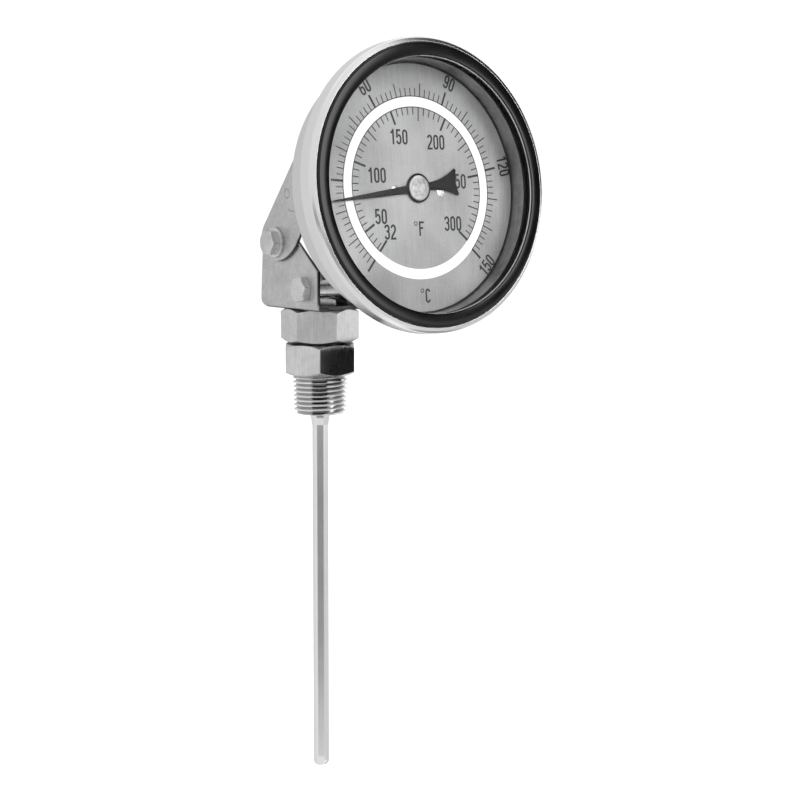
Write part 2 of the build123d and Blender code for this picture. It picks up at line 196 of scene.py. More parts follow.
def steel(name, base, rough, vary=0.06, grain=None, grain_strength=0.25, spots=0.0, metallic=1.0,
          base_vary=0.08, aniso=0.0):
    """brushed or satin steel. grain: 'z' drawn along Z, 'ring' turned about Z, 'dial' spun about the dial axis,
    'sheet' rolled and pickled sheet, 'up' vertical brushing in the dial plane, 'hub' fine rings about the dial axis"""
    m, nt, b, out = new_material(name)
    g = G(nt)
    v = g.coord()
    x, y, z = g.xyz(v)
    if grain == "z":
        gv = g.scaled(v, (2300.0, 2300.0, 85.0))
    elif grain == "ring":
        rad = g.m("SQRT", g.m("ADD", g.m("MULTIPLY", x, x), g.m("MULTIPLY", y, y)))
        gv = g.combine(g.m("MULTIPLY", rad, 9000.0), g.m("MULTIPLY", z, 9000.0), 0.0)
    elif grain == "dial":
        dx, du, dh = g.dial_axes(v)
        rad = g.m("SQRT", g.m("ADD", g.m("MULTIPLY", dx, dx), g.m("MULTIPLY", du, du)))
        ang = g.m("ARCTAN2", du, dx)
        gv = g.combine(g.m("MULTIPLY", rad, 3200.0), g.m("MULTIPLY", dh, 3200.0), g.m("MULTIPLY", ang, 4.0))
    elif grain == "hub":
        dx, du, dh = g.dial_axes(v)
        rad = g.m("SQRT", g.m("ADD", g.m("MULTIPLY", dx, dx), g.m("MULTIPLY", du, du)))
        gv = g.combine(g.m("MULTIPLY", rad, 1500.0), g.m("MULTIPLY", g.m("ARCTAN2", du, dx), 1.6), g.m("MULTIPLY", dh, 500.0))
    elif grain == "up":
        dx, du, dh = g.dial_axes(v)
        gv = g.combine(g.m("MULTIPLY", dx, 5000.0), g.m("MULTIPLY", du, 90.0), g.m("MULTIPLY", dh, 2000.0))
    elif grain == "sheet":
        gv = g.scaled(v, (1300.0, 1300.0, 1100.0))
    else:
        gv = g.scaled(v, (2200.0, 2200.0, 2200.0))
    fine = g.noise(gv, 1.0, 4.0, 0.6)
    cloud = g.noise(g.scaled(v, (1.0, 1.0, 1.0)), 70.0, 4.0, 0.55)
    mid = g.noise(v, 420.0, 3.0, 0.5)
    rr = g.m("ADD", rough - vary * 0.75, g.m("MULTIPLY", g.m("ADD", g.m("MULTIPLY", cloud, 0.6), g.m("MULTIPLY", fine, 0.4)), vary * 1.5))
    g.put(b.inputs["Roughness"], rr)
    tone = g.m("ADD", g.m("MULTIPLY", g.m("SUBTRACT", cloud, 0.5), base_vary * 1.2),
               g.m("MULTIPLY", g.m("SUBTRACT", fine, 0.5), base_vary * 1.3))
    tone = g.m("ADD", tone, g.m("MULTIPLY", g.m("SUBTRACT", mid, 0.5), base_vary * 0.8))
    if spots:
        sp = g.ramp(g.noise(v, 900.0, 2.0, 0.6), 0.66, 0.74)
        tone = g.m("SUBTRACT", tone, g.m("MULTIPLY", sp, spots))
    tone = g.m("ADD", tone, base, clamp=True)
    g.put(b.inputs["Base Color"], g.grey(tone))
    b.inputs["Metallic"].default_value = metallic
    h = g.m("ADD", g.m("MULTIPLY", fine, 0.7), g.m("MULTIPLY", mid, 0.5))
    nb = g.bump(h, grain_strength, 0.00002)
    g.put(b.inputs["Normal"], nb)
    if aniso:
        b.inputs["Anisotropic"].default_value = aniso
    return m, g, b


MAT = {}
MAT["machined_steel"], g_hex, b_hex = steel("machined_steel", 0.59, 0.28, grain="z", grain_strength=0.22, spots=0.03, base_vary=0.24)
MAT["thread_steel"], g_th, b_th = steel("thread_steel", 0.90, 0.15, vary=0.06, grain="ring", grain_strength=0.18)


def darken(g, b, mask, keep):
    """scales the base colour by keep where mask is 1"""
    old = b.inputs["Base Color"].links[0].from_socket
    mix = g.nt.nodes.new("ShaderNodeMix")
    mix.data_type = "RGBA"
    mix.blend_type = "MULTIPLY"
    g.put(mix.inputs[0], mask)
    g.put(mix.inputs[6], old)
    mix.inputs[7].default_value = (keep, keep, keep, 1)
    g.put(b.inputs["Base Color"], mix.outputs[2])


def radius_z(g):
    x, y, z = g.xyz(g.coord())
    return g.m("SQRT", g.m("ADD", g.m("MULTIPLY", x, x), g.m("MULTIPLY", y, y))), x, y, z


# painted shade: the thread roots are darkened towards the groove bottom, standing in for the shade in the grooves
r_, x_, y_, z_ = radius_z(g_th)
rel_ = g_th.m("SUBTRACT", r_, g_th.m("MULTIPLY", z_, 1 / 32))
darken(g_th, b_th, g_th.ramp(rel_, 0.0091, 0.0101, 1.0, 0.0), 0.50)
# painted shadow: the turned gap between the two hexagons is darkened
r_, x_, y_, z_ = radius_z(g_hex)
gap = g_hex.m("MULTIPLY", g_hex.ramp(z_, 0.0278, 0.02799), g_hex.ramp(z_, 0.02881, 0.0290, 1.0, 0.0))
gap = g_hex.m("MULTIPLY", gap, g_hex.ramp(r_, 0.0131, 0.0134, 1.0, 0.0))
darken(g_hex, b_hex, gap, 0.06)
MAT["turned_steel"], _, _ = steel("turned_steel", 0.62, 0.27, grain="ring", grain_strength=0.30)
MAT["stem_steel"], _, _ = steel("stem_steel", 0.80, 0.16, vary=0.05, grain="z", grain_strength=0.12, base_vary=0.04)
MAT["fastener_steel"], _, _ = steel("fastener_steel", 0.60, 0.27, grain=None, grain_strength=0.35, base_vary=0.26)
MAT["shaft_steel"], _, _ = steel("shaft_steel", 0.62, 0.25, grain="z", grain_strength=0.2)
MAT["wire_steel"], _, _ = steel("wire_steel", 0.55, 0.28, grain=None, grain_strength=0.2)
MAT["case_steel"], _, _ = steel("case_steel", 0.64, 0.30, vary=0.05, grain="dial", grain_strength=0.14, base_vary=0.05)
MAT["bezel_steel"], _, _ = steel("bezel_steel", 0.74, 0.24, vary=0.05, grain="dial", grain_strength=0.10, base_vary=0.04)
MAT["spacer"], _, _ = steel("spacer", 0.42, 0.40, vary=0.10, grain="dial", grain_strength=0.20, base_vary=0.30)
MAT["support"], _, _ = steel("support", 0.55, 0.33, grain="dial", grain_strength=0.25)
MAT["hub"], _, _ = steel("hub", 0.44, 0.34, vary=0.06, grain="hub", grain_strength=0.9, base_vary=0.55, metallic=0.45)
MAT["bimetal"], _, _ = steel("bimetal", 0.5, 0.35, grain=None)


def sheet_material():
    m, g, b = steel("sheet_steel", 0.52, 0.36, vary=0.09, grain="sheet", grain_strength=0.45, spots=0.06,
                    base_vary=0.22)
    # painted shade: the inside of the bent brackets is darkened
    r_, x, y, z = radius_z(g)
    inside = g.ramp(g.m("ABSOLUTE", x), 0.0139, 0.0143, 1.0, 0.0)
    darken(g, b, inside, 0.17)
    # painted shade: the sheared edge faces are darkened, standing in for the shadow line along the brackets' edges; the
    # bands at the outer corner are left at the base colour
    geo = g.node("ShaderNodeNewGeometry")
    nx, ny, nz = g.xyz(geo.outputs["Normal"])
    ax = g.m("ABSOLUTE", x)
    cutedge = g.m("MULTIPLY", g.ramp(g.m("ABSOLUTE", nx), 0.35, 0.6, 1.0, 0.0), g.ramp(z, 0.0440, 0.0450))
    bright = g.m("ADD", g.m("MULTIPLY", g.ramp(ax, 0.01455, 0.0147), g.ramp(ax, 0.01500, 0.01508, 1.0, 0.0)), g.ramp(ax, 0.0161, 0.0163))
    darken(g, b, g.m("MULTIPLY", cutedge, g.m("SUBTRACT", 1.0, bright, clamp=True)), 0.16)
    # faint spot-weld ring and tool marks on the outer side of the cheeks
    def mark(cy, cz, r0, w):
        dy, dz = g.m("SUBTRACT", y, cy), g.m("SUBTRACT", z, cz)
        rr = g.m("SQRT", g.m("ADD", g.m("MULTIPLY", dy, dy), g.m("MULTIPLY", dz, dz)))
        return g.ramp(g.m("ABSOLUTE", g.m("SUBTRACT", rr, r0)), 0.0, w, 1.0, 0.0)
    ring_ = g.m("MULTIPLY", mark(-0.00225, 0.08679, 0.0017, 0.00045), g.ramp(g.m("ABSOLUTE", x), 0.0160, 0.0164))
    cur = g.m("MULTIPLY", mark(-0.0060, 0.0850, 0.0050, 0.00040), g.ramp(z, 0.0812, 0.0806))
    cur = g.m("MULTIPLY", cur, g.ramp(g.m("ABSOLUTE", x), 0.0160, 0.0164))
    darken(g, b, g.m("MAXIMUM", ring_, cur), 0.55)
    return m


MAT["sheet_steel"] = sheet_material()


def brass():
    m, nt, b, out = new_material("bush_brass")
    g = G(nt)
    v = g.coord()
    n = g.noise(v, 600.0, 3.0)
    mix = nt.nodes.new("ShaderNodeMix")
    mix.data_type = "RGBA"
    g.put(mix.inputs[0], n)
    mix.inputs[6].default_value = (0.60, 0.45, 0.20, 1)
    mix.inputs[7].default_value = (0.74, 0.58, 0.30, 1)
    g.put(b.inputs["Base Color"], mix.outputs[2])
    b.inputs["Metallic"].default_value = 1.0
    g.put(b.inputs["Roughness"], g.ramp(n, 0.3, 0.7, 0.24, 0.36))
    g.put(b.inputs["Normal"], g.bump(g.noise(v, 2500.0, 3.0), 0.2, 0.00002))
    return m


MAT["bush_brass"] = brass()


def black(name, base, rough, vary, grain_scale, strength, coat=0.0, spec=0.5):
    m, nt, b, out = new_material(name)
    g = G(nt)
    v = g.coord()
    cloud = g.noise(v, 60.0, 4.0)
    fine = g.noise(v, grain_scale, 3.0, 0.6)
    g.put(b.inputs["Base Color"], g.grey(g.ramp(cloud, 0.25, 0.75, base * 0.75, base * 1.3)))
    g.put(b.inputs["Roughness"], g.ramp(g.m("ADD", g.m("MULTIPLY", cloud, 0.6), g.m("MULTIPLY", fine, 0.4)),
                                        0.3, 0.7, rough - vary, rough + vary))
    g.put(b.inputs["Normal"], g.bump(g.m("ADD", g.m("MULTIPLY", fine, 0.6), cloud), strength, 0.00002))
    b.inputs["Specular IOR Level"].default_value = spec
    if coat:
        b.inputs["Coat Weight"].default_value = coat
        b.inputs["Coat Roughness"].default_value = 0.05
    return m


MAT["trim_black"] = black("trim_black", 0.003, 0.15, 0.03, 1500.0, 0.10, spec=0.26)
MAT["gasket"] = black("gasket", 0.010, 0.55, 0.08, 2500.0, 0.4)
MAT["seal"] = black("seal", 0.02, 0.5, 0.08, 1800.0, 0.4)
MAT["pointer_black"] = black("pointer_black", 0.010, 0.34, 0.06, 2600.0, 0.3, spec=0.25)
MAT["print_and_shade_black"] = black("print_and_shade_black", 0.016, 0.50, 0.08, 3500.0, 0.3)


def white_print():
    m, nt, b, out = new_material("print_white")
    g = G(nt)
    v = g.coord()
    n = g.noise(v, 1800.0, 3.0)
    g.put(b.inputs["Base Color"], g.grey(g.ramp(n, 0.3, 0.7, 0.88, 0.93)))
    g.put(b.inputs["Roughness"], g.ramp(n, 0.3, 0.7, 0.42, 0.5))
    g.put(b.inputs["Normal"], g.bump(n, 0.15, 0.00001))
    return m


MAT["print_white"] = white_print()


def dial_material():
    m, nt, b, out = new_material("dial")
    g = G(nt)
    v = g.coord()
    dx, du, dh = g.dial_axes(v)
    fine = g.noise(g.combine(g.m("MULTIPLY", dx, 1700.0), g.m("MULTIPLY", du, 60.0), 0.0), 1.0, 4.0, 0.65)
    speck = g.noise(v, 1500.0, 2.0, 0.6)
    cloud = g.noise(g.combine(g.m("MULTIPLY", dx, 46.0), g.m("MULTIPLY", du, 40.0), 3.7), 1.0, 2.5, 0.5)
    big = g.noise(g.combine(g.m("MULTIPLY", dx, 19.0), g.m("MULTIPLY", du, 24.0), 8.2), 1.0, 1.5, 0.5)
    tone = g.m("ADD", g.m("MULTIPLY", g.m("SUBTRACT", cloud, 0.5), 0.30),
               g.m("MULTIPLY", g.m("SUBTRACT", big, 0.5), 0.30))
    tone = g.m("ADD", tone, g.m("MULTIPLY", g.m("SUBTRACT", fine, 0.5), 0.16))
    tone = g.m("ADD", tone, g.m("MULTIPLY", g.m("SUBTRACT", speck, 0.5), 0.10))
    tone = g.m("ADD", tone, 0.33, clamp=True)
    g.put(b.inputs["Base Color"], g.grey(tone))
    b.inputs["Metallic"].default_value = 0.12
    g.put(b.inputs["Roughness"], g.m("ADD", 0.36, g.m("MULTIPLY", cloud, 0.14)))
    h = g.m("ADD", g.m("MULTIPLY", fine, 0.8), g.m("MULTIPLY", speck, 0.4))
    nb = g.bump(h, 0.22, 0.00002)
    g.put(b.inputs["Normal"], nb)
    return m


MAT["dial"] = dial_material()


def glass_material():
    m, nt, b, out = new_material("window")
    g = G(nt)
    b.inputs["Base Color"].default_value = (0.985, 0.99, 0.985, 1)
    b.inputs["Transmission Weight"].default_value = 1.0
    b.inputs["IOR"].default_value = 1.12
    v = g.coord()
    smear = g.noise(v, 45.0, 3.0)
    g.put(b.inputs["Roughness"], g.ramp(smear, 0.45, 0.8, 0.0, 0.02))
    tr = nt.nodes.new("ShaderNodeBsdfTransparent")
    tr.inputs[0].default_value = (0.96, 0.96, 0.96, 1)
    lp = nt.nodes.new("ShaderNodeLightPath")
    mix = nt.nodes.new("ShaderNodeMixShader")
    nt.links.new(lp.outputs["Is Shadow Ray"], mix.inputs[0])
    nt.links.new(b.outputs[0], mix.inputs[1])
    nt.links.new(tr.outputs[0], mix.inputs[2])
    nt.links.new(mix.outputs[0], out.inputs[0])
    return m


MAT["window"] = glass_material()


# ================================================================ mesh helpers
def fillet_poly(pts, seg=5):
    """pts of (a, b) or (a, b, radius): corners rounded with seg steps"""
    out, n = [], len(pts)
    P = [np.array(p[:2], float) for p in pts]
    for i in range(n):
        rad = pts[i][2] if len(pts[i]) > 2 else 0.0
        p, a, b = P[i], P[i - 1], P[(i + 1) % n]
        if rad <= 0:
            out.append(tuple(p))
            continue
        u, v = a - p, b - p
        lu, lv = np.linalg.norm(u), np.linalg.norm(v)
        u, v = u / lu, v / lv
        ang = acos(max(-1, min(1, float(u @ v))))
        if ang > pi - 1e-3:
            out.append(tuple(p))
            continue
        t = min(rad / tan(ang / 2), 0.49 * lu, 0.49 * lv)
        r = t * tan(ang / 2)
        w = (u + v) / np.linalg.norm(u + v)
        c = p + w * (r / sin(ang / 2))
        s0, s1 = p + u * t - c, p + v * t - c
        a0, a1 = atan2(s0[1], s0[0]), atan2(s1[1], s1[0])
        d = (a1 - a0 + pi) % (2 * pi) - pi
        for k in range(seg + 1):
            q = a0 + d * k / seg
            out.append((c[0] + r * cos(q), c[1] + r * sin(q)))
    return out


def make(name, verts, faces, mat, body, slot=None, to_row=same, smooth=35.0, merge=1e-6, weighted=True, nodes=()):
    me = bpy.data.meshes.new(name)
    V = to_row(verts) * 0.001
    me.from_pydata([tuple(p) for p in V], [], faces)
    bm = bmesh.new()
    bm.from_mesh(me)
    if merge:
        bmesh.ops.remove_doubles(bm, verts=bm.verts, dist=merge)
    loose = [v for v in bm.verts if not v.link_faces]
    if loose:
        bmesh.ops.delete(bm, geom=loose, context="VERTS")
    bmesh.ops.recalc_face_normals(bm, faces=bm.faces)
    bm.to_mesh(me)
    bm.free()
    me.shade_smooth()
    if smooth < 180:
        me.set_sharp_from_angle(angle=radians(smooth))
    me.materials.append(MAT[mat])
    o = bpy.data.objects.new(name, me)
    bpy.context.scene.collection.objects.link(o)
    if weighted:
        w = o.modifiers.new("wn", "WEIGHTED_NORMAL")
        w.keep_sharp = True
    if body:
        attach(o, body)
    if nodes:
        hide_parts(*nodes)
    return o


def lathe_data(profile, seg=192, a0=0.0):
    """closed outline of (r, z) turned about the z axis"""
    n = len(profile)
    verts, faces = [], []
    for i in range(seg):
        a = a0 + 2 * pi * i / seg
        c, s = cos(a), sin(a)
        for r, z in profile:
            verts.append((r * c, r * s, z))
    for i in range(seg):
        j = (i + 1) % seg
        for k in range(n):
            l = (k + 1) % n
            r0, r1 = profile[k][0], profile[l][0]
            if r0 < 1e-7 and r1 < 1e-7:
                continue
            a, b, c, d = i * n + k, j * n + k, j * n + l, i * n + l
            if r0 < 1e-7:
                faces.append((a, c, d))
            elif r1 < 1e-7:
                faces.append((a, b, d))
            else:
                faces.append((a, b, c, d))
    return verts, faces


def lathe(name, pts, mat, body, seg=192, to_row=same, **kw):
    v, f = lathe_data(fillet_poly(pts), seg)
    return make(name, v, f, mat, body, to_row=to_row, **kw)


def prism_data(outline, z0, z1, holes=()):
    """closed prism from outline (list of xy); holes are outlines too. Caps are triangulated."""
    from mathutils.geometry import tessellate_polygon
    loops = [list(outline)] + [list(h) for h in holes]
    flat = [p for lp in loops for p in lp]
    n = len(flat)
    tris = tessellate_polygon([[Vector((p[0], p[1], 0)) for p in lp] for lp in loops])
    verts = [(p[0], p[1], z0) for p in flat] + [(p[0], p[1], z1) for p in flat]
    faces = [tuple(t) for t in tris] + [tuple(i + n for i in t) for t in tris]
    k = 0
    for lp in loops:
        m = len(lp)
        for i in range(m):
            j = (i + 1) % m
            faces.append((k + i, k + j, k + j + n, k + i + n))
        k += m
    return verts, faces


def join_data(*parts):
    V, F = [], []
    for v, f in parts:
        k = len(V)
        V += list(v)
        F += [tuple(i + k for i in t) for t in f]
    return V, F


def rot2(pts, a, dx=0.0, dy=0.0):
    c, s = cos(a), sin(a)
    return [(x * c - y * s + dx, x * s + y * c + dy) for x, y in pts]


def arc(cx, cy, r, a0, a1, n=8, ry=None):
    ry = r if ry is None else ry
    return [(cx + r * cos(radians(a0 + (a1 - a0) * i / n)), cy + ry * sin(radians(a0 + (a1 - a0) * i / n)))
            for i in range(n + 1)]


def stroke(path, w, closed=False):
    """outline polygon of a line of width w with square ends; closed gives (outer, [inner])"""
    P = [np.array(p, float) for p in path]
    Q = [P[0]]
    for p in P[1:]:
        if np.linalg.norm(p - Q[-1]) > 1e-6:
            Q.append(p)
    if closed and np.linalg.norm(Q[0] - Q[-1]) < 1e-6:
        Q.pop()
    n = len(Q)
    L, R = [], []
    for i in range(n):
        if closed:
            a, b = Q[i] - Q[i - 1], Q[(i + 1) % n] - Q[i]
        else:
            a = Q[i] - Q[i - 1] if i else Q[1] - Q[0]
            b = Q[i + 1] - Q[i] if i < n - 1 else a
        a, b = a / np.linalg.norm(a), b / np.linalg.norm(b)
        na, nb = np.array((-a[1], a[0])), np.array((-b[1], b[0]))
        m = na + nb
        m = m / np.linalg.norm(m)
        k = 1.0 / max(0.45, float(m @ na))
        L.append(tuple(Q[i] + m * k * w / 2))
        R.append(tuple(Q[i] - m * k * w / 2))
    if closed:
        return L, [R]
    return L + R[::-1], []


# ================================================================ figures for the dial (own condensed strokes)
FH, FW, FS = 5.4, 2.36, 0.72     # height, width, stroke


def glyph(ch):
    """strokes of one figure in a box FW x FH, centred; returns a list of (path, closed)"""
    s = FS
    w, h = (FW - s) / 2, (FH - s) / 2
    r = w
    rh = 1.05
    top = arc(0, h - rh, w, 180, 0, 12, ry=rh)
    bot = arc(0, -h + rh, w, 0, -180, 12, ry=rh)
    if ch == "0":
        return [(top + bot, True)]
    if ch == "1":
        return [([(0.28, -FH / 2), (0.28, FH / 2)], False),
                ([(0.28, FH / 2 - 0.34), (-0.22, FH / 2 - 1.05), (-0.86, FH / 2 - 1.35)], False)]
    if ch == "2":
        return [(arc(0, h - rh, w, 172, 0, 12, ry=rh) + [(w, 0.95), (w * 0.8, 0.25), (-w * 0.75, -h + 0.75), (-w, -h)] + [(FW / 2, -h)], False)]
    if ch == "3":
        return [(arc(0, h - rh, w, 172, 0, 12, ry=rh) + [(w, 1.0)] + arc(0, 1.0, w, 0, -90, 6, ry=0.75) + [(-0.25, 0.25)], False),
                ([(-0.25, 0.25)] + arc(0, -0.6, w, 90, 0, 6, ry=0.85) + [(w, -h + rh)] + arc(0, -h + rh, w, 0, -172, 12, ry=rh), False)]
    if ch == "5":
        return [([(w * 0.95, h), (-w * 0.9, h), (-w * 0.95, 0.1)] + arc(0, -0.35, w, 150, 0, 10, ry=0.95) + [(w, -h + rh)]
                 + arc(0, -h + rh, w, 0, -172, 12, ry=rh), False)]
    if ch == "6":
        lo = [(-w, -h + rh)] + [(-w, -0.55)] + arc(0, -0.55, w, 180, 0, 12, ry=0.95) + [(w, -h + rh)] + arc(0, -h + rh, w, 0, -180, 12, ry=rh)
        return [(lo, True), ([(-w, -0.4), (-w, h - rh)] + arc(0, h - rh, w, 180, 8, 12, ry=rh), False)]
    if ch == "9":
        up = [(w, h - rh)] + [(w, 0.55)] + arc(0, 0.55, w, 0, -180, 12, ry=0.95) + [(-w, h - rh)] + arc(0, h - rh, w, 180, 0, 12, ry=rh)
        return [(up, True), ([(w, 0.4), (w, -h + rh)] + arc(0, -h + rh, w, 0, -172, 12, ry=rh), False)]
    if ch == "C":
        return [(arc(0, h - rh, w, 8, 180, 12, ry=rh) + [(-w, -h + rh)] + arc(0, -h + rh, w, 180, 352, 12, ry=rh), False)]
    if ch == "F":
        return [([(-w, -FH / 2), (-w, h), (FW / 2, h)], False), ([(-w, 0.2), (w * 0.85, 0.2)], False)]
    if ch == "o":
        return [(arc(0, 0, 0.72, 0, 360, 18), True)]
    return []


INK0, INK1 = 0.004, 0.034        # ink on the dial: bottom and top height


def text_data(txt, cx, cy, ang=0.0, scale=1.0, adv=2.78):
    parts = []
    n = len(txt)
    for i, ch in enumerate(txt):
        ox = (i - (n - 1) / 2) * adv
        if ch == "1":
            ox += 0.05
        for k, (path, closed) in enumerate(glyph(ch)):
            wd = FS if ch != "o" else 0.34
            outer, inner = stroke(path, wd, closed)
            f = lambda pts: rot2([((x + ox) * scale, y * scale) for x, y in pts], ang, cx, cy)
            parts.append(prism_data(f(outer), INK0, INK1 + 0.0015 * k, [f(q) for q in inner]))
    return join_data(*parts)


def phi_c(t):
    return -3.94 + 1.823 * (t - 75.0)


def polar(r, phi):
    a = radians(phi)
    return (r * sin(a), r * cos(a))


def tick(phi, r0, r1, w):
    a = radians(phi)
    d = np.array((sin(a), cos(a)))
    n = np.array((cos(a), -sin(a)))
    p0, p1 = d * r0, d * r1
    q = [tuple(p0 + n * w / 2), tuple(p1 + n * w / 2), tuple(p1 - n * w / 2), tuple(p0 - n * w / 2)]
    return prism_data(q, INK0, INK1)


def band(r0, r1, a0, a1, z0, z1, n=240):
    full = abs(a1 - a0) >= 360
    if full:
        o = [polar(r1, a0 + (a1 - a0) * i / n) for i in range(n)]
        i_ = [polar(r0, a0 + (a1 - a0) * i / n) for i in range(n)]
        V = [(x, y, z0) for x, y in o] + [(x, y, z0) for x, y in i_] + [(x, y, z1) for x, y in o] + [(x, y, z1) for x, y in i_]
        F = []
        for k in range(n):
            j = (k + 1) % n
            F += [(k, j, n + j, n + k), (2 * n + k, 3 * n + k, 3 * n + j, 2 * n + j),
                  (k, 2 * n + k, 2 * n + j, j), (n + k, n + j, 3 * n + j, 3 * n + k)]
        return V, F
    o = [polar(r1, a0 + (a1 - a0) * i / n) for i in range(n + 1)]
    i_ = [polar(r0, a0 + (a1 - a0) * i / n) for i in range(n + 1)]
    m = n + 1
    V = [(x, y, z0) for x, y in o] + [(x, y, z0) for x, y in i_] + [(x, y, z1) for x, y in o] + [(x, y, z1) for x, y in i_]
    F = []
    for k in range(n):
        j = k + 1
        F += [(k, j, m + j, m + k), (2 * m + k, 3 * m + k, 3 * m + j, 2 * m + j),
              (k, 2 * m + k, 2 * m + j, j), (m + k, m + j, 3 * m + j, 3 * m + k)]
    F += [(0, m, 3 * m, 2 * m), (n, 2 * m + n, 3 * m + n, m + n)]
    return V, F


# ---- dial plate
lathe("dial_face", [(0.0, -0.6), (44.9, -0.6, 0.08), (44.9, 0.0, 0.12), (0.0, 0.0)], "dial", "head", seg=240,
      to_row=dial_to_row, slot="dial", nodes=("dial_plate",))

# ---- print, and a black ring at the dial's rim that is painted shade
ink = []
for t in range(0, 151, 2):
    ph = phi_c(t)
    if t % 30 == 0:
        ink.append(tick(ph, 32.7, 37.8, 0.80))
    elif t % 10 == 0:
        ink.append(tick(ph, 32.7, 37.6, 0.40))
    else:
        ink.append(tick(ph, 32.7, 35.7, 0.36))
for f in range(35, 301, 5):
    ph = phi_c((f - 32) / 1.8)
    if f % 50 == 0:
        ink.append(tick(ph, 29.0, 23.9, 0.80))
    elif f % 25 == 0:
        ink.append(tick(ph, 29.0, 23.9, 0.42))
    else:
        ink.append(tick(ph, 29.0, 26.2, 0.38))
ink.append(tick(phi_c(0), 29.0, 23.9, 0.80))
a_lo, a_hi = phi_c(0) - 0.4, phi_c(150) + 0.4
ink.append(band(32.6, 32.95, a_lo, a_hi, INK0, INK1 + 0.004))
ink.append(band(28.75, 29.1, a_lo, phi_c((300 - 32) / 1.8) + 0.4, INK0, INK1 + 0.004))
# painted shade: this black ring at the dial's rim stands in for the dark gap between the dial and the spacer ring
ink.append(band(44.36, 44.86, 0, 360, INK0, INK1, 288))
v, f = join_data(*ink)
make("scale_marks_and_rim_shade", v, f, "print_and_shade_black", "head", "dial", dial_to_row, smooth=30, merge=0, weighted=False)
v, f = band(29.0, 32.7, 0, 360, 0.003, 0.024, 288)
make("scale_band", v, f, "print_white", "head", "dial", dial_to_row, smooth=30, merge=0, weighted=False)

num = []
for t, R in ((0, 42.6), (30, 42.2), (60, 41.1), (90, 41.7), (120, 42.0), (150, 41.8)):
    ph = phi_c(t)
    ph += {90: 0.6, 120: 0.1}.get(t, 0)
    x, y = polar(R, ph)
    turn = pi if t in (0, 150) else 0.0      # the lowest figures read from below
    num.append(text_data(str(t), x, y, turn - radians(ph), 0.94))
for txt, x, y in (("32", -13.4, -15.6), ("50", -17.1, -10.1), ("100", -18.0, 4.4), ("150", -7.4, 18.1),
                  ("200", 9.4, 16.6), ("250", 18.6, 2.6), ("300", 15.4, -12.8)):
    num.append(text_data(txt, x, y, 0.0, 1.0))
num.append(text_data("F", 0.8, -14.5, 0.0, 0.96))
num.append(text_data("o", -1.75, -12.7, 0.0, 0.9))
num.append(text_data("C", 2.1, -38.7, 0.0, 0.96))
num.append(text_data("o", -0.35, -36.8, 0.0, 0.9))
v, f = join_data(*num)
make("scale_figures", v, f, "print_and_shade_black", "head", "dial", dial_to_row, smooth=30, merge=0, weighted=False)

# ---- dial screws: slotted cheese heads
scr = []
for sx, sy, sa in ((-10.4, -1.1, 35.0), (10.4, -1.1, -20.0)):
    prof = fillet_poly([(0.0, 0.0), (1.9, 0.0), (1.9, 0.24, 0.12), (1.2, 0.33, 0.5), (0.0, 0.35)], 4)
    vv, ff = lathe_data(prof, 48)
    # the slot is cut into the head's top by the boolean further down; the vertices here stay as they are
    vv = [(x, y, z) for x, y, z in vv]
    scr.append(([(x + sx, y + sy, z) for x, y, z in vv], ff))
    q = rot2([(-1.9, -0.02), (1.9, -0.02), (1.9, 0.02), (-1.9, 0.02)], radians(sa))
v, f = join_data(*scr)
screws = make("dial_screw_heads", v, f, "fastener_steel", "head", "support", dial_to_row, smooth=35, merge=1e-7, nodes=("dial_screws",))
cut = []
for sx, sy, sa in ((-10.4, -1.1, 35.0), (10.4, -1.1, -20.0)):
    q = rot2([(-2.3, -0.24), (2.3, -0.24), (2.3, 0.24), (-2.3, 0.24)], radians(sa), sx, sy)
    cut.append(prism_data(q, 0.12, 1.0))
v, f = join_data(*cut)
cutter = make("slot_cutter", v, f, "fastener_steel", None, None, dial_to_row, merge=0, weighted=False)


def boolean(o, tool, op="DIFFERENCE"):
    """applies a boolean to o's mesh and removes the tool"""
    for m in list(o.modifiers):
        o.modifiers.remove(m)
    b = o.modifiers.new("b", "BOOLEAN")
    b.operation, b.object, b.solver = op, tool, "EXACT"
    bpy.context.view_layer.update()
    dg = bpy.context.evaluated_depsgraph_get()
    me = bpy.data.meshes.new_from_object(o.evaluated_get(dg))
    o.modifiers.clear()
    old = o.data
    o.data = me
    me.shade_smooth()
    me.set_sharp_from_angle(angle=radians(35))
    w = o.modifiers.new("wn", "WEIGHTED_NORMAL")
    w.keep_sharp = True
    bpy.data.objects.remove(tool)


boolean(screws, cutter)

# ---- pointer
PH0, PH1 = 0.45, 0.65
pa = radians(97.4)


def pointer_outline():
    out = []
    R = 5.25
    # needle side
    half = 1.5
    a0 = atan2(3.5 + 1.3, half + 0.05)
    t0 = math.asin(half / R) if half < R else 0
    pts = []
    y_join = sqrt(R * R - half * half)
    pts += [(half, y_join), (0.30, 38.0), (0.0, 38.3), (-0.30, 38.0), (-half, y_join)]
    # left side of disc down to the tail
    yt = -sqrt(R * R - 1.5 ** 2)
    aa0 = degrees(atan2(y_join, -half))
    aa1 = degrees(atan2(yt, -1.5)) + 360
    pts += arc(0, 0, R, aa0, aa1, 40)[1:-1]
    # tail, left edge flares out
    def tail_edge(sign):
        o = []
        for k in range(15):
            t = k / 14
            y = yt + (-17.1 - yt) * t
            w = 1.5 + (4.75 - 1.5) * (t ** 2.1)
            o.append((sign * w, y))
        return o
    left = tail_edge(-1)
    right = tail_edge(1)
    end = fillet_end()
    pts += left + end + right[::-1]
    aa0 = degrees(atan2(yt, 1.5))
    aa1 = degrees(atan2(y_join, half))
    pts += arc(0, 0, R, aa0, aa1, 40)[1:-1]
    return pts


